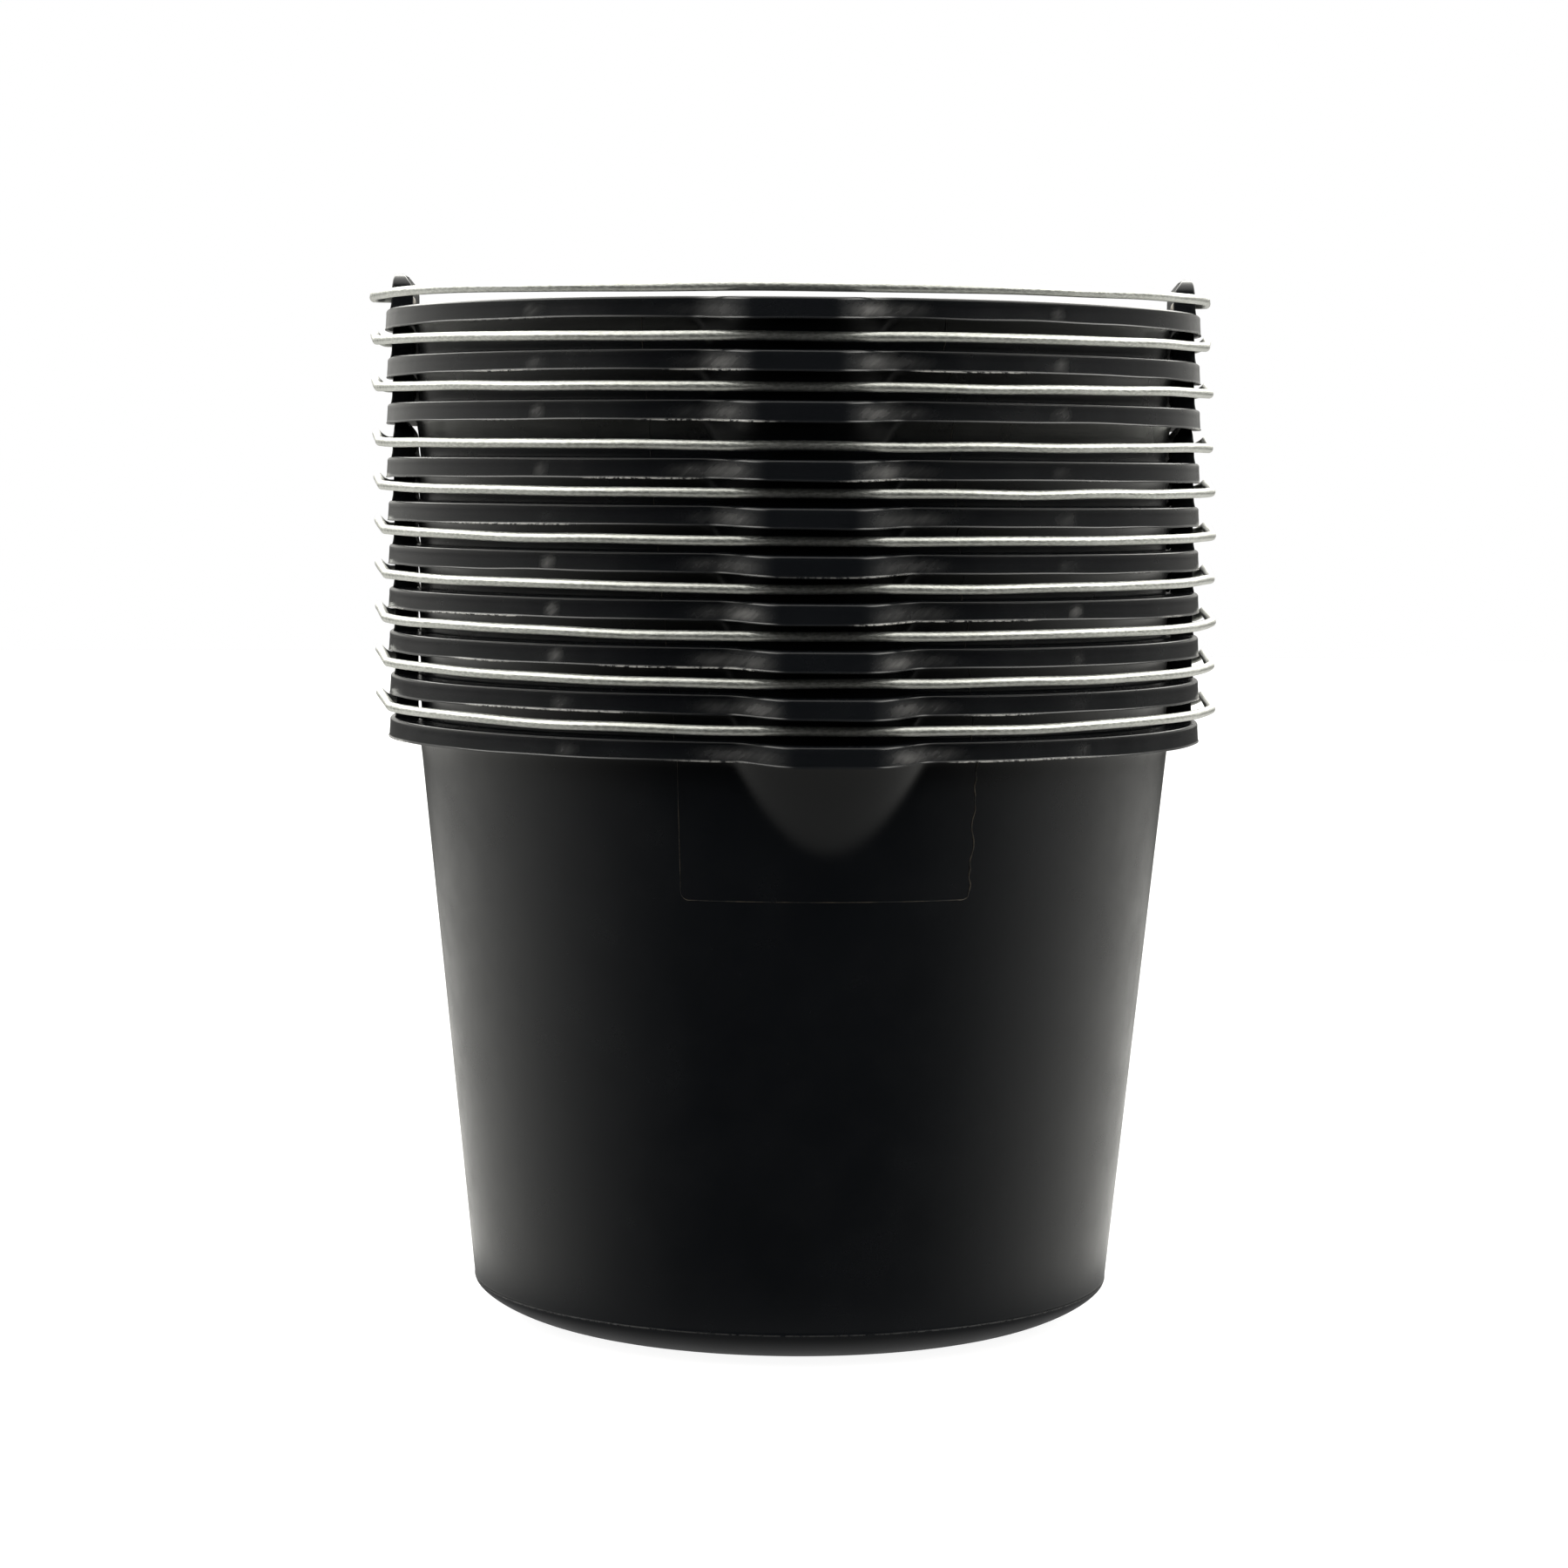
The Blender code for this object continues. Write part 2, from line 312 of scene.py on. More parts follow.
class Section:
    """Collects a shell's rings, each a radius and a height for every column."""

    def __init__(self, angle, random, ragged):
        self.angle = angle
        along = RIM_RADIUS * (np.remainder(angle + math.pi, 2.0 * math.pi) - math.pi)
        spout = swell(along, SPOUT_HALF_WIDTH, SPOUT_FLAT)
        self.bulge = SPOUT_REACH * spout
        self.dip = SPOUT_DIP * spout
        share = np.maximum(0.0, 1.0 - (along / SCOOP_HALF_WIDTH) ** 2)
        self.scoop = SCOOP_REACH * share
        self.knee = HEIGHT - np.maximum(SCOOP_DROP * share, SCOOP_LEAST_DROP)
        self.oval = OUT_OF_ROUND * waves(angle, random, 2, 5)
        self.droop = SKIRT_DROOP * waves(angle, random, 3, 24)
        self.nick = 0.5 + 0.5 * waves(angle, random, 40, 110)
        self.torn = ragged * smooth_share((waves(angle, random, 3, 12) - 0.12) / 0.25)
        self.rub_sheen = rub_and_sheen_marks(along, random)
        self.rings = []
        self.flash = []
        self.rubbed = []

    def add(self, radius, height, flash=0.0, rubbed=0.0):
        """A ring; near the rim it takes a share of the rim's slight out-of-round and, at the
        spout, of its dip."""
        height = height + np.zeros_like(self.angle)
        share = smooth_share((height - UNEVEN_START) / UNEVEN_RISE)
        self.rings.append((radius + self.oval * share, height - self.dip * share))
        self.flash.append(flash + np.zeros_like(self.angle))
        self.rubbed.append(rubbed + np.zeros_like(self.angle))

    def wall(self, height, inward):
        """The wall's radius at a height, with the scoop growing from its knee to the rim."""
        top = HEIGHT - RIM_PLATE
        share = np.clip((height - self.knee) / (top - self.knee), 0.0, 1.0)
        toe = share * share / (4.0 * SCOOP_TOE)
        eased = np.where(share < 2.0 * SCOOP_TOE, toe, share - SCOOP_TOE) / (1.0 - SCOOP_TOE)
        return wall_radius(height) + self.scoop * eased - inward


def corner_points(steps):
    """The full, flattened corner from the underside up to the wall: (radius, height)."""
    turn = np.linspace(0.0, 0.5 * math.pi, steps)
    run = CORNER_RUN * np.sin(turn) ** CORNER_POWER
    height = CORNER_RISE * (1.0 - np.maximum(0.0, np.cos(turn)) ** CORNER_POWER)
    lean = TAPER * (CORNER_RISE - height) * height / CORNER_RISE
    radius = wall_radius(CORNER_RISE) - CORNER_RUN + run - lean
    return list(zip(radius, height))


def add_underside(section):
    """A flat underside with a shallow recess and the moulding gate's low nub in its middle."""
    edge = wall_radius(CORNER_RISE) - CORNER_RUN
    for radius, height in ((1.2, 0.45), (3.0, 0.45), (3.4, 0.62), (60.0, 0.62)):
        section.add(radius * MM, height * MM)
    for inset, height in ((9.6, 0.62), (9.0, 0.55), (8.0, 0.08), (7.4, 0.0)):
        section.add(edge - inset * MM, height * MM)


def add_outer_corner(section):
    """The round into the wall, and the fine line where the mould's base insert ends."""
    for radius, height in corner_points(18):
        section.add(radius, height)
    # The proud line's flash value paints a faint glint along it.
    for above, proud in ((0.4, 0.0), (0.55, 1.0), (0.85, 1.0), (1.0, 0.0)):
        height = CORNER_RISE + above * MM
        section.add(wall_radius(height) + proud * CORNER_LINE, height, flash=0.08 * proud)


def wall_heights(bottom):
    """Ring heights up the wall: wide apart on the plain cone, close together at the scoop."""
    scoop_foot = HEIGHT - SCOOP_DROP - 2.0 * MM
    top = HEIGHT - RIM_PLATE - 1.0 * MM
    plain = np.linspace(bottom, scoop_foot, 9)
    return np.concatenate([plain, np.linspace(scoop_foot, top, 18)[1:]])


def add_rim(section):
    """From the wall's top, out under the flange, round the skirt and back over the flange."""
    under = HEIGHT - RIM_PLATE
    top_wall = section.wall(under, 0.0)
    skirt = RIM_RADIUS + section.bulge
    inside = skirt - SKIRT_WALL
    foot = HEIGHT - SKIRT_DROP + section.droop
    lip = (0.05 + 0.40 * section.nick * section.torn) * MM
    frayed_and_glint = section.torn
    for radius, height in arc(1.0, -1.0, -1.0, -10.0, -90.0, 4):
        section.add(top_wall + radius * MM, under + height * MM)
    for radius, height in arc(-0.8, -0.8, 0.8, 90.0, 0.0, 4):
        section.add(inside + radius * MM, under + height * MM)
    section.add(inside, foot + 0.4 * MM)
    section.add(inside + 0.25 * MM, foot)
    # The flash values paint pale glints along the torn lip of the skirt's foot.
    section.add(skirt - 0.45 * MM, foot, flash=0.2 * frayed_and_glint)
    section.add(skirt - 0.10 * MM, foot - 0.6 * lip, flash=0.8 * frayed_and_glint)
    section.add(skirt + 0.5 * lip, foot - 0.3 * lip, flash=frayed_and_glint)
    section.add(skirt + 0.4 * lip, foot + 0.30 * MM, flash=0.9 * frayed_and_glint)
    face_foot = foot + 0.50 * MM
    section.add(skirt - SKIRT_INSET, face_foot, flash=0.1 * frayed_and_glint)
    for share, rubbed in ((0.08, 0.5), (0.35, 1.0), (0.65, 1.0), (0.95, 0.4)):
        inset = SKIRT_INSET + share * SKIRT_DRAFT
        section.add(skirt - inset, face_foot + share * SKIRT_FACE, rubbed=rubbed * section.rub_sheen)
    inset = SKIRT_INSET + SKIRT_DRAFT + RIM_ROUND
    for radius, height in arc(-inset, -RIM_ROUND, RIM_ROUND, 4.0, 88.0, 8):
        section.add(skirt + radius, HEIGHT + height)
    inner = section.wall(HEIGHT, WALL)
    outer_flat = skirt - inset - 0.15 * MM
    for share in (0.12, 0.5, 0.88):
        section.add(outer_flat + share * (inner + 0.7 * MM - outer_flat), HEIGHT)
    for radius, height in arc(0.7, -0.7, -0.7, -90.0, 0.0, 5):
        section.add(inner + radius * MM, HEIGHT + height * MM)


def add_inside(section):
    """Down the inner wall, round the inner corner and across the floor."""
    for height in reversed(wall_heights(FLOOR + CORNER_RISE + 1.0 * MM)):
        section.add(section.wall(height, WALL), height)
    inwards = WALL - TAPER * FLOOR
    corner = corner_points(14)
    for radius, height in reversed(corner):
        section.add(radius - inwards, height + FLOOR)
    for share in (0.9, 0.5, 0.04):
        section.add(share * (corner[0][0] - inwards), FLOOR)


def shell_mesh(name, random, ragged):
    """A bucket's shell about its own axis, its spout at -Y. Its skirt's foot is torn in places,
    by the ragged share."""
    angle = column_angles()
    section = Section(angle, random, ragged)
    add_underside(section)
    add_outer_corner(section)
    for height in wall_heights(CORNER_RISE + 2.0 * MM):
        section.add(section.wall(height, 0.0), height)
    add_rim(section)
    add_inside(section)
    radius = np.array([ring[0] for ring in section.rings])
    height = np.array([ring[1] for ring in section.rings])
    direction = angle + SPOUT_DIRECTION
    rings = np.stack([radius * np.cos(direction), radius * np.sin(direction), height], axis=-1)
    mesh = grid_mesh(name, rings, closed_rings=False, caps=True)
    set_attribute(mesh, "flash", section.flash)
    set_attribute(mesh, "rubbed", section.rubbed)
    return mesh


# ---------------------------------------------------------------- ears


def ear_reach(turn):
    """Distance from the hole's axis to the ear's outline, by the direction seen from outside."""
    across = np.abs(np.cos(turn))
    up = np.sin(turn)
    crown = EAR_TOP - PIVOT_RISE
    rounded = (across / EAR_SHOULDER) ** EAR_SQUARENESS + (np.abs(up) / crown) ** EAR_SQUARENESS
    top = rounded ** (-1.0 / EAR_SQUARENESS)
    foot = PIVOT_RISE + EAR_ROOT
    to_floor = foot / np.maximum(1e-9, -up)
    to_side = EAR_SHOULDER / np.maximum(1e-9, across)
    depth = np.clip(-up * to_side / foot, 0.0, 1.0)
    to_side = to_side * (1.0 + (EAR_FOOT / EAR_SHOULDER - 1.0) * depth**2)
    return np.where(up >= 0.0, top, np.minimum(to_floor, to_side))


def ear_thickening(across, up, inner):
    """A face's shift away from the bucket's axis, off the flat plate. The plate thickens towards
    its foot and thins towards its top, and inside it has thick edges and two gussets."""
    flare = EAR_FLARE * np.clip((-2.4 * MM - up) / (4.0 * MM), 0.0, 1.0) ** 2
    thinned = EAR_DRAFT * np.clip(up / (8.0 * MM), 0.0, 1.0)
    if not inner:
        return flare - thinned
    lobe = EAR_LOBE * smooth_share((np.abs(across) - 4.0 * MM) / (4.0 * MM))
    gusset = EAR_GUSSET * smooth_share((np.abs(across) - 7.0 * MM) / (3.0 * MM))
    low = smooth_share((8.0 * MM - up) / (6.0 * MM))
    return thinned - flare - lobe - gusset * low


def ear_mesh(name, side):
    """A plate with rounded edges, a hole for the wire and a foot that flares into the flange."""
    turns = np.linspace(0.0, 2.0 * math.pi, EAR_STEPS, endpoint=False)
    reach = ear_reach(turns)
    rings = []
    corners = (  # distance, face, way to the material, way into the plate, arc's start and end
        (HOLE_RADIUS, EAR_INNER, 1.0, 1.0, 180.0, 270.0),
        (reach, EAR_INNER, -1.0, 1.0, 270.0, 360.0),
        (reach, EAR_OUTER, -1.0, -1.0, 0.0, 90.0),
        (HOLE_RADIUS, EAR_OUTER, 1.0, -1.0, 90.0, 180.0),
    )
    for distance, face, inward, deeper, start, end in corners:
        edge = EAR_EDGE if inward < 0.0 else 0.5 * EAR_EDGE
        for turn in np.radians(np.linspace(start, end, 5)):
            out = distance + edge * (inward + math.cos(turn)) + np.zeros_like(turns)
            depth = face + edge * (deeper + math.sin(turn))
            across = out * np.cos(turns)
            up = out * np.sin(turns)
            shift = ear_thickening(across, up, deeper > 0.0)
            rings.append(np.stack([side * (depth + shift), side * across, up], axis=-1))
    return grid_mesh(name, np.array(rings), closed_rings=True, caps=False)


# ---------------------------------------------------------------- wire


def rounded_corner(before, corner, after, bend, steps):
    """Points of an arc of radius bend that replaces a corner of a path in the plane."""
    to_before = math.atan2(before[1] - corner[1], before[0] - corner[0])
    to_after = math.atan2(after[1] - corner[1], after[0] - corner[0])
    opening = math.remainder(to_after - to_before, 2.0 * math.pi)
    middle = to_before + 0.5 * opening
    setback = bend / abs(math.sin(0.5 * opening))
    centre = (corner[0] + setback * math.cos(middle), corner[1] + setback * math.sin(middle))
    sweep = math.copysign(math.pi, opening) - opening
    start = to_before - math.copysign(0.5 * math.pi, opening)
    turns = [start - sweep * i / steps for i in range(steps + 1)]
    return [(centre[0] + bend * math.cos(t), centre[1] + bend * math.sin(t)) for t in turns]


def straight(start, end, steps):
    """Evenly spaced points of a straight run, without its ends."""
    shares = np.linspace(0.0, 1.0, steps + 1)[1:-1, None]
    return [tuple(point) for point in np.array(start) + shares * (np.array(end) - np.array(start))]


def bail_tail():
    """The centre line at +X about the hinge axis: the hooked tail inside the ear."""
    tip = (TAIL_X, TAIL_LENGTH)
    hook = (TAIL_X, 0.0)
    shoulder = (LEG_X, 0.0)
    path = [tip] + rounded_corner(tip, hook, shoulder, TAIL_BEND, 8)
    forward = math.cos(TAIL_ANGLE)
    down = math.sin(TAIL_ANGLE)
    return [(x, -reach * forward, -reach * down) for x, reach in path]


def bail_leg(rise):
    """The centre line at +X: it rises as it turns forward outside the ear, then runs down to
    the elbow, level with the hinge axis."""
    hook = (TAIL_X, 0.0)
    shoulder = (LEG_X, 0.0)
    elbow, after = [
        (BAIL_RADIUS * math.cos(turn), -BAIL_RADIUS * math.sin(turn))
        for turn in (ELBOW_ANGLE, ELBOW_ANGLE + math.radians(8.0))
    ]
    ear_turn = rounded_corner(hook, shoulder, elbow, EAR_BEND, 10)
    shares = smooth_share(np.linspace(0.0, 1.0, len(ear_turn)))
    rising = [(x, y, rise * share) for (x, y), share in zip(ear_turn, shares)]
    level = [(x, y, 0.0) for x, y in rounded_corner(shoulder, elbow, after, ELBOW_BEND, 6)]
    return rising + straight(rising[-1], level[0], 10) + level


def bail_line(random, rise, shift):
    """The wire's centre line about the hinge axis, with the slight waviness of bent wire. What is
    outside the ears is shifted along the axis."""
    tail = bail_tail()
    leg = bail_leg(rise)
    turns = np.linspace(ELBOW_ANGLE, math.pi - ELBOW_ANGLE, 96)[2:-2]
    front = [(BAIL_RADIUS * math.cos(t), -BAIL_RADIUS * math.sin(t), 0.0) for t in turns]
    loop = leg + front + [(-x, y, z) for x, y, z in reversed(leg)]
    loop = [(x + shift, y, z) for x, y, z in loop]
    other_tail = [(-x, y, z) for x, y, z in reversed(tail)]
    line = tail + straight(tail[-1], loop[0], 5) + loop + straight(loop[-1], other_tail[0], 5)
    line = np.array(line + other_tail)
    around = np.arctan2(line[:, 1], line[:, 0])
    free = smooth_share((-line[:, 1] - 12.0 * MM) / (30.0 * MM))
    line[:, 2] += WIRE_WAVE_UP * free * waves(2.0 * around, random, 2, 9)
    stretch = WIRE_WAVE_OUT / BAIL_RADIUS * free * waves(around, random, 2, 7)
    line[:, :2] *= (1.0 + stretch)[:, None]
    return line


def tube_mesh(name, line, radii, sides, end_round):
    """A round bar along a line, with a radius for each point and slightly eased cut ends."""
    steps = np.gradient(line, axis=0)
    tangent = steps / np.linalg.norm(steps, axis=1, keepdims=True)
    sideways = np.cross(tangent, (0.0, 0.0, 1.0))
    sideways /= np.linalg.norm(sideways, axis=1, keepdims=True)
    above = np.cross(sideways, tangent)
    turns = np.linspace(0.0, 2.0 * math.pi, sides, endpoint=False)[None, :, None]
    circle = np.cos(turns) * sideways[:, None, :] + np.sin(turns) * above[:, None, :]
    rings = line[:, None, :] + radii[:, None, None] * circle
    ends = []
    for end, away in ((0, -1.0), (-1, 1.0)):
        shrink = radii[end] - end_round
        ends.append(line[end] + away * end_round * tangent[end] + shrink * circle[end])
    rings = np.concatenate([ends[0][None], rings, ends[1][None]])
    return grid_mesh(name, rings, closed_rings=False, caps=True)


def wire_mesh(name, line):
    """The galvanised wire along a line. It keeps its distance from the nearer cut end, and places
    of its own as if the wire were straight, for the material."""
    radii = np.full(len(line), WIRE_RADIUS)
    mesh = tube_mesh(name, line, radii, WIRE_SIDES, WIRE_END_ROUND)
    lengths = np.cumsum(np.linalg.norm(np.diff(line, axis=0, prepend=line[:1]), axis=1))
    along = np.concatenate([lengths[:1], lengths, lengths[-1:]])
    from_end = np.minimum(along, lengths[-1] - along)
    set_attribute(mesh, "from_end", np.repeat(from_end, WIRE_SIDES))
    turns = np.linspace(0.0, 2.0 * math.pi, WIRE_SIDES, endpoint=False)
    places = np.empty((len(along), WIRE_SIDES, 3))
    places[:, :, 0] = along[:, None]
    places[:, :, 1] = WIRE_RADIUS * np.cos(turns)
    places[:, :, 2] = WIRE_RADIUS * np.sin(turns)
    layer = mesh.attributes.new("unrolled", "FLOAT_VECTOR", "POINT")
    layer.data.foreach_set("vector", places.astype(np.float32).ravel())
    return mesh


def insert_path():
    """The rectangle round the spout, open at its top, as (along the wall, height) points."""
    half = INSERT_HALF_WIDTH
    foot = HEIGHT - INSERT_DROP
    inner = half - INSERT_CORNER
    above = foot + INSERT_CORNER
    downs = np.linspace(INSERT_TOP, above, 60)
    turns = np.linspace(0.0, 0.5 * math.pi, 8)[1:-1]
    sines = INSERT_CORNER * np.sin(turns)
    cosines = INSERT_CORNER * np.cos(turns)
    path = [(-half, height) for height in downs]
    path += list(zip(-inner - cosines, above - sines))
    path += [(along, foot) for along in np.linspace(-inner, inner, 90)]
    path += list(zip(inner + sines, above - cosines))
    path += [(half, height) for height in reversed(downs)]
    return np.array(path)


def insert_line(random):
    """The fine flash that a mould insert leaves round the spout: its line on the wall, and its
    thickness. It is torn and wanders on the right."""
    path = insert_path()
    turn = np.linspace(0.0, 2.0 * math.pi, len(path))
    across = path[:, 0] / INSERT_HALF_WIDTH
    wander = waves(turn, random, 6, 40) * smooth_share((across - 0.2) / 0.7)
    path[:, 0] += INSERT_WANDER * wander * (across > 0.8)
    torn = smooth_share((path[:, 0] / INSERT_HALF_WIDTH - 0.6) / 0.3)
    radii = 0.10 + 0.10 * torn + (0.03 + 0.10 * torn) * waves(turn, random, 5, 60)
    direction = SPOUT_DIRECTION + path[:, 0] / wall_radius(HEIGHT - 0.5 * INSERT_DROP)
    radius = wall_radius(path[:, 1]) + 0.03 * MM
    line = np.column_stack([radius * np.cos(direction), radius * np.sin(direction), path[:, 1]])
    return line, radii * MM


# ---------------------------------------------------------------- materials


class Nodes:
    """Short calls for building a node tree."""

    def __init__(self, tree):
        self.tree = tree
        tree.nodes.clear()

    def add(self, kind, **settings):
        node = self.tree.nodes.new(kind)
        for key, value in settings.items():
            setattr(node, key, value)
        return node

    def wire(self, source, target):
        self.tree.links.new(source, target)

    def feed(self, node, name, value):
        """Sets an input to a number or a colour, or links a socket to it."""
        socket = node.inputs[name]
        if isinstance(value, bpy.types.NodeSocket):
            self.wire(value, socket)
        else:
            socket.default_value = value

    def math(self, operation, first, second=0.0, clamp=False):
        node = self.add("ShaderNodeMath", operation=operation, use_clamp=clamp)
        self.feed(node, 0, first)
        self.feed(node, 1, second)
        return node.outputs[0]

    def noise(self, vector, scale, detail=3.0, roughness=0.5):
        node = self.add("ShaderNodeTexNoise")
        self.feed(node, "Vector", vector)
        self.feed(node, "Scale", scale)
        self.feed(node, "Detail", detail)
        self.feed(node, "Roughness", roughness)
        return node.outputs["Fac"]

    def remap(self, value, low, high, to_low=0.0, to_high=1.0):
        """Eases smoothly from to_low to to_high while the value runs from low to high."""
        node = self.add("ShaderNodeMapRange", interpolation_type="SMOOTHSTEP")
        for index, number in ((0, value), (1, low), (2, high), (3, to_low), (4, to_high)):
            self.feed(node, index, number)
        return node.outputs[0]

    def mix(self, share, first, second):
        node = self.add("ShaderNodeMix", data_type="RGBA")
        self.feed(node, 0, share)
        self.feed(node, 6, first)
        self.feed(node, 7, second)
        return node.outputs[2]

    def bump(self, height, strength, distance, normal=None):
        node = self.add("ShaderNodeBump")
        self.feed(node, "Height", height)
        self.feed(node, "Strength", strength)
        self.feed(node, "Distance", distance)
        if normal is not None:
            self.feed(node, "Normal", normal)
        return node.outputs[0]

    def surface(self, inputs):
        """A Principled surface with these inputs, wired to the material's output."""
        shader = self.add("ShaderNodeBsdfPrincipled")
        for name, value in inputs.items():
            self.feed(shader, name, value)
        output = self.add("ShaderNodeOutputMaterial")
        self.wire(shader.outputs[0], output.inputs[0])


def new_material(name):
    """An empty node material, and its nodes."""
    material = bpy.data.materials.new(name)
    material.use_nodes = True
    return material, Nodes(material.node_tree)


def object_vector(nodes, stretch, turn=(0.0, 0.0, 0.0)):
    """The piece's own coordinates, turned, then stretched so that marks run across the stretch."""
    place = nodes.add("ShaderNodeTexCoord").outputs["Object"]
    mapping = nodes.add("ShaderNodeMapping", vector_type="TEXTURE")
    nodes.wire(place, mapping.inputs["Vector"])
    mapping.inputs["Scale"].default_value = [1.0 / share for share in stretch]
    mapping.inputs["Rotation"].default_value = turn
    return mapping.outputs[0]


def plastic_material():
    """Black recycled polypropylene: satin, finely grained, cloudy, with scuffs, paler rubbing marks
    that partly paint a sheen highlight, and pale flash whose paleness paints its glints.
    """
    material, nodes = new_material("black_polypropylene")
    plain = object_vector(nodes, (1.0, 1.0, 1.0))
    across = object_vector(nodes, (1.0, 1.0, 6.0))
    slanted = object_vector(nodes, (1.0, 1.0, 5.0), (0.0, -0.7, 0.0))
    flash = nodes.add("ShaderNodeAttribute", attribute_name="flash").outputs["Fac"]
    rubbed = nodes.add("ShaderNodeAttribute", attribute_name="rubbed").outputs["Fac"]

    clouds = nodes.noise(plain, 22.0, 4.0, 0.6)
    colour = nodes.mix(clouds, BLACK_DARKER, BLACK_LIGHTER)
    grain = nodes.remap(nodes.noise(plain, 1700.0, 2.0, 0.6), 0.50, 0.72)
    colour = nodes.mix(nodes.math("MULTIPLY", grain, 0.10), colour, GRAIN_GREY)
    scuffs = nodes.remap(nodes.noise(across, 260.0, 6.0, 0.72), 0.66, 0.80)
    patches = nodes.remap(nodes.noise(plain, 30.0, 2.0), 0.50, 0.68)
    scuffed = nodes.math("MULTIPLY", scuffs, patches)
    colour = nodes.mix(nodes.math("MULTIPLY", scuffed, 0.30), colour, SCUFF_GREY)
    # Rubbing marks painted paler on the skirts; at the spout's flanks the paleness is partly a
    # painted sheen highlight.
    streaks = nodes.remap(nodes.noise(slanted, 110.0, 5.0, 0.65), 0.35, 0.70, 0.45, 1.0)
    worn_and_sheen = nodes.math("MULTIPLY", rubbed, streaks, clamp=True)
    colour = nodes.mix(nodes.math("MULTIPLY", worn_and_sheen, 0.60), colour, WORN_SHEEN_GREY)
    # Painted glints: the flash attribute, in noisy dashes, paints the torn flash edges pale where
    # they catch the light.
    broken_glints = nodes.remap(nodes.noise(plain, 420.0, 4.0, 0.7), 0.40, 0.55)
    edge = nodes.math("MULTIPLY", flash, broken_glints)
    colour = nodes.mix(nodes.math("MULTIPLY", edge, 0.85), colour, FLASH_GLINT_PALE)

    dull = nodes.remap(nodes.noise(plain, 45.0, 5.0, 0.6), 0.3, 0.7, 0.20, 0.28)
    marks = nodes.math("ADD", scuffed, worn_and_sheen)
    rough = nodes.math("ADD", dull, nodes.math("MULTIPLY", marks, 0.16))

    ripple = nodes.noise(plain, 60.0, 2.0, 0.4)
    normal = nodes.bump(ripple, 0.10, 0.0006)
    normal = nodes.bump(grain, 0.09, 0.00010, normal)
    normal = nodes.bump(marks, 0.20, 0.0001, normal)
    nodes.surface({"Base Color": colour, "Roughness": rough, "IOR": 1.45, "Normal": normal})
    return material


def flash_material():
    """The insert's flash line: the same plastic, paler where it has been scraped and torn."""
    material, nodes = new_material("torn_flash")
    plain = object_vector(nodes, (1.0, 1.0, 1.0))
    torn = nodes.remap(nodes.noise(plain, 160.0, 4.0, 0.7), 0.40, 0.65)
    colour = nodes.mix(torn, INSERT_BLACK, INSERT_TORN)
    normal = nodes.bump(nodes.noise(plain, 900.0), 0.4, 0.0002)
    nodes.surface({"Base Color": colour, "Roughness": 0.5, "Normal": normal})
    return material


def wire_material():
    """Galvanised wire: zinc with fine drawn mottling along the wire, in darker and paler runs. Its
    hooked tails are darkened with painted shade, all but their cut faces."""
    material, nodes = new_material("galvanised_wire")
    unrolled = nodes.add("ShaderNodeAttribute", attribute_name="unrolled").outputs["Vector"]
    from_end = nodes.add("ShaderNodeAttribute", attribute_name="from_end").outputs["Fac"]
    mapping = nodes.add("ShaderNodeMapping")
    nodes.wire(unrolled, mapping.inputs["Vector"])
    mapping.inputs["Scale"].default_value = (0.40, 1.0, 1.0)
    drawn = mapping.outputs[0]

    mottle = nodes.noise(drawn, 1300.0, 4.0, 0.65)
    runs = nodes.noise(drawn, 90.0, 3.0, 0.6)
    pits = nodes.remap(nodes.noise(drawn, 2600.0, 2.0, 0.6), 0.55, 0.70)
    colour = nodes.mix(nodes.remap(mottle, 0.35, 0.65), ZINC_DARKER, ZINC_LIGHTER)
    colour = nodes.mix(nodes.remap(runs, 0.40, 0.70, 0.0, 0.45), colour, ZINC_RUNS)
    colour = nodes.mix(nodes.math("MULTIPLY", pits, 0.35), colour, ZINC_PITS)
    # Painted shade: the hooked tails sit in shade between ear and wall, and are darkened all but
    # their cut faces.
    hooked = nodes.remap(from_end, 5.0 * MM, 8.0 * MM, 1.0, 0.0)
    side_wall = nodes.remap(from_end, 0.0, 0.4 * MM)
    painted_tail_shade = nodes.math("MULTIPLY", nodes.math("MULTIPLY", hooked, side_wall), 0.88)
    colour = nodes.mix(painted_tail_shade, colour, TAIL_SHADE_DARK)

    rough = nodes.remap(mottle, 0.3, 0.7, 0.32, 0.48)
    normal = nodes.bump(mottle, 0.22, 0.0002)
    normal = nodes.bump(pits, 0.15, 0.0001, normal)
    nodes.surface({"Base Color": colour, "Metallic": 0.88, "Roughness": rough, "Normal": normal})
    return material


# ---------------------------------------------------------------- stack


def hinge_turn(hinge):
    """The turn about +Z of a bucket and its bail, from the direction of their hinge."""
    turn = math.atan2(-hinge["axis"][1], -hinge["axis"][0])
    return Matrix.Rotation(turn, 4, "Z")


def add_bucket(number, random, hinge, plastic, flash):
    """One moulded bucket: its shell, its two ears and the flash line round its spout."""
    label = f"{number:02d}"
    body = "bucket_" + label
    x, y, _ = hinge["pos_m"]
    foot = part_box(body)[0].z
    at_foot = Matrix.Translation((x, y, foot)) @ hinge_turn(hinge)
    at_hole = Matrix.Translation((x, y, foot + HEIGHT + PIVOT_RISE)) @ hinge_turn(hinge)

    ragged = TOP_RAGGED if number == BUCKET_COUNT else 1.0
    mesh = shell_mesh("shell", random, ragged)
    shell = add_piece("shell_" + label, mesh, plastic, body, at_foot)
    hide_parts(body)
    for side, word in ((1.0, "right"), (-1.0, "left")):
        mesh = ear_mesh("ear", side)
        add_piece(f"ear_{word}_{label}", mesh, plastic, body, at_hole)
    line, radii = insert_line(random)
    mesh = tube_mesh("insert_line", line, radii, INSERT_LINE_SIDES, INSERT_LINE_ROUND)
    add_piece("insert_line_" + label, mesh, flash, body, at_foot)


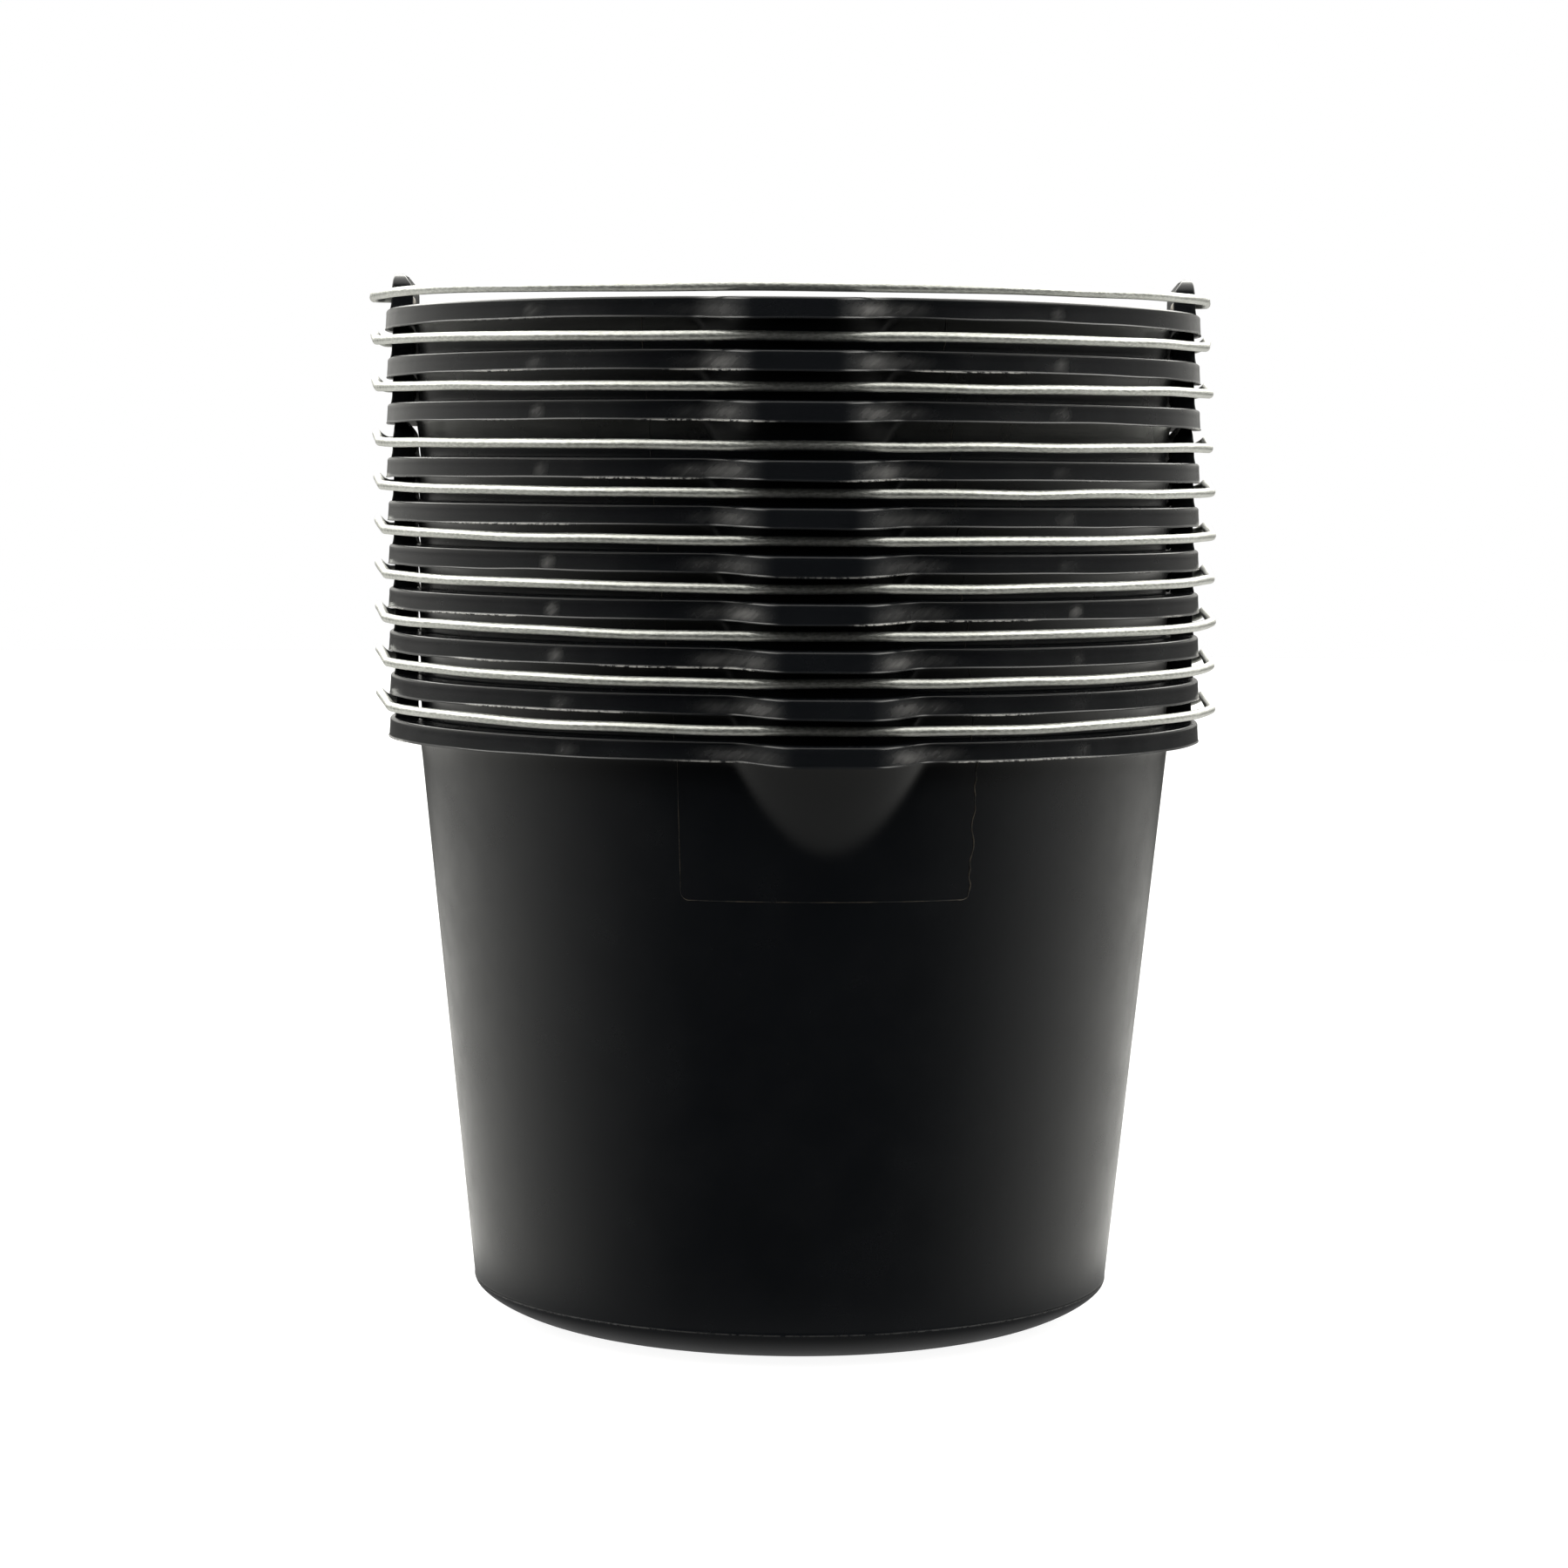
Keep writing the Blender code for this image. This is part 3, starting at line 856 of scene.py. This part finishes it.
def add_bail(number, random, hinge, galvanised):
    """One wire bail. The top one lies level; the others are pushed up where they leave the ears,
    and the upper ones have slid to one side."""
    label = f"{number:02d}"
    body = "bail_" + label
    rise = 0.0 if number == BUCKET_COUNT else LEG_RISE
    shift = BAIL_SHIFT * max(0, number - SHIFT_START)
    mesh = wire_mesh("wire", bail_line(random, rise, shift))
    at_pivot = Matrix.Translation(hinge["pos_m"]) @ hinge_turn(hinge)
    sagged = at_pivot @ Matrix.Rotation(BAIL_SAG, 4, "X")
    wire = add_piece("wire_bail_" + label, mesh, galvanised, body, sagged)
    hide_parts(body)


def build_stack(frame):
    """Every bucket with its bail, each riding on its CAD body."""
    plastic = plastic_material()
    flash = flash_material()
    galvanised = wire_material()
    hinges = {joint["child"]: joint for joint in frame["joints"] if joint["type"] == "hinge"}
    for number in range(1, BUCKET_COUNT + 1):
        random = np.random.default_rng(FIRST_SEED + number)
        hinge = hinges[f"bail_{number:02d}"]
        add_bucket(number, random, hinge, plastic, flash)
        add_bail(number, random, hinge, galvanised)


# ---------------------------------------------------------------- stage


def floor_material():
    """A pale floor for the camera. For other rays it is dim round the stack's foot and clear
    farther out, so it throws no glare up the buckets."""
    material, nodes = new_material("pale_floor")
    paths = nodes.add("ShaderNodeLightPath")
    pale = nodes.add("ShaderNodeBsdfPrincipled")
    nodes.feed(pale, "Base Color", FLOOR_GREY)
    nodes.feed(pale, "Roughness", 0.9)
    nodes.feed(pale, "Specular IOR Level", 0.0)
    nodes.feed(pale, "Emission Color", WHITE)
    nodes.feed(pale, "Emission Strength", 0.92)
    dim = nodes.add("ShaderNodeEmission")
    nodes.feed(dim, "Strength", 0.18)
    clear = nodes.add("ShaderNodeBsdfTransparent")
    place = nodes.add("ShaderNodeNewGeometry").outputs["Position"]
    distance = nodes.add("ShaderNodeVectorMath", operation="LENGTH")
    nodes.wire(place, distance.inputs[0])
    away = nodes.remap(distance.outputs["Value"], DIM_FLOOR_RADIUS, CLEAR_FLOOR_RADIUS)
    unseen = nodes.add("ShaderNodeMixShader")
    nodes.wire(away, unseen.inputs[0])
    nodes.wire(dim.outputs[0], unseen.inputs[1])
    nodes.wire(clear.outputs[0], unseen.inputs[2])
    either = nodes.add("ShaderNodeMixShader")
    nodes.wire(paths.outputs["Is Camera Ray"], either.inputs[0])
    nodes.wire(unseen.outputs[0], either.inputs[1])
    nodes.wire(pale.outputs[0], either.inputs[2])
    output = nodes.add("ShaderNodeOutputMaterial")
    nodes.wire(either.outputs[0], output.inputs[0])
    return material


def add_floor():
    """A wide round floor, just below the stack."""
    turns = np.linspace(0.0, 2.0 * math.pi, 96, endpoint=False)
    reach = FLOOR_RADIUS
    points = [(reach * math.cos(turn), reach * math.sin(turn), FLOOR_HEIGHT) for turn in turns]
    mesh = bpy.data.meshes.new("floor")
    mesh.from_pydata(points, [], [list(range(len(points)))])
    mesh.materials.append(floor_material())
    floor = bpy.data.objects.new("floor", mesh)
    bpy.context.scene.collection.objects.link(floor)


def add_world():
    """A white studio: the camera sees plain white. Reflections see pale walls behind and beside the
    stack, strip lights above them, a dim floor close by and a dark side towards the camera. The
    levels follow x, y and z of the direction looked in, of length 1."""
    world = bpy.data.worlds.new("studio")
    bpy.context.scene.world = world
    world.use_nodes = True
    nodes = Nodes(world.node_tree)
    direction = nodes.add("ShaderNodeTexCoord").outputs["Generated"]
    parts = nodes.add("ShaderNodeSeparateXYZ")
    nodes.wire(direction, parts.inputs[0])
    x, y, z = (parts.outputs[axis] for axis in "XYZ")
    backwards = nodes.remap(y, -0.90, 0.75)
    above = nodes.remap(z, -0.02, 0.07, 0.12, 0.78)
    right_dimmed = nodes.remap(x, 0.1, 0.9, 1.0, 0.5)
    below = nodes.remap(z, -0.08, -0.17)
    deep = nodes.remap(z, -0.75, -0.40, 0.25, 1.0)
    level = nodes.math("MAXIMUM", nodes.math("MULTIPLY", above, right_dimmed), below)
    walls = nodes.math("MULTIPLY", nodes.math("MULTIPLY", backwards, level), deep)

    beside = nodes.remap(y, -0.78, -0.25)
    strips = nodes.remap(z, 0.28, 0.38, 0.0, nodes.remap(z, 0.50, 0.75, 5.2, 1.8))
    overhead = nodes.math("MULTIPLY", strips, beside)
    near_floor = nodes.remap(z, -0.70, -0.40, 0.30, 0.0)
    studio = nodes.math("ADD", nodes.math("ADD", walls, overhead), near_floor)

    seen = nodes.add("ShaderNodeLightPath").outputs["Is Camera Ray"]
    strength = nodes.add("ShaderNodeMix", data_type="FLOAT")
    nodes.feed(strength, 0, seen)
    nodes.feed(strength, 2, studio)
    nodes.feed(strength, 3, 1.0)
    background = nodes.add("ShaderNodeBackground")
    nodes.feed(background, "Color", nodes.mix(seen, WARM_WHITE, WHITE))
    nodes.wire(strength.outputs[0], background.inputs["Strength"])
    output = nodes.add("ShaderNodeOutputWorld")
    nodes.wire(background.outputs[0], output.inputs[0])


def add_fill():
    """A large soft light from the camera's side that leaves no reflection of itself."""
    light = bpy.data.lights.new("front_fill", "AREA")
    light.size = FILL_SIZE
    light.energy = FILL_POWER
    lamp = bpy.data.objects.new("front_fill", light)
    bpy.context.scene.collection.objects.link(lamp)
    lamp.location = FILL_PLACE
    back = Vector(FILL_PLACE) - Vector(FILL_TARGET)
    lamp.rotation_euler = back.to_track_quat("Z", "Y").to_euler()
    lamp.visible_glossy = False


def add_camera():
    """A long lens about 1.5 m in front, level with the middle rims, looking slightly down."""
    camera = bpy.data.cameras.new("camera")
    camera.sensor_width = SENSOR_WIDTH
    camera.lens = LENS
    camera.clip_start = 0.05
    camera.clip_end = 50.0
    holder = bpy.data.objects.new("camera", camera)
    bpy.context.scene.collection.objects.link(holder)
    holder.location = CAMERA_PLACE
    tilt = Matrix.Rotation(CAMERA_TILT, 3, "X")
    roll = Matrix.Rotation(CAMERA_ROLL, 3, "Z")
    holder.rotation_euler = (tilt @ roll).to_euler()
    bpy.context.scene.camera = holder


def main():
    for thing in list(bpy.data.objects):
        bpy.data.objects.remove(thing, do_unlink=True)
    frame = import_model()
    build_stack(frame)
    add_floor()
    add_world()
    add_fill()
    add_camera()
    bpy.context.scene.view_settings.view_transform = "Standard"


main()
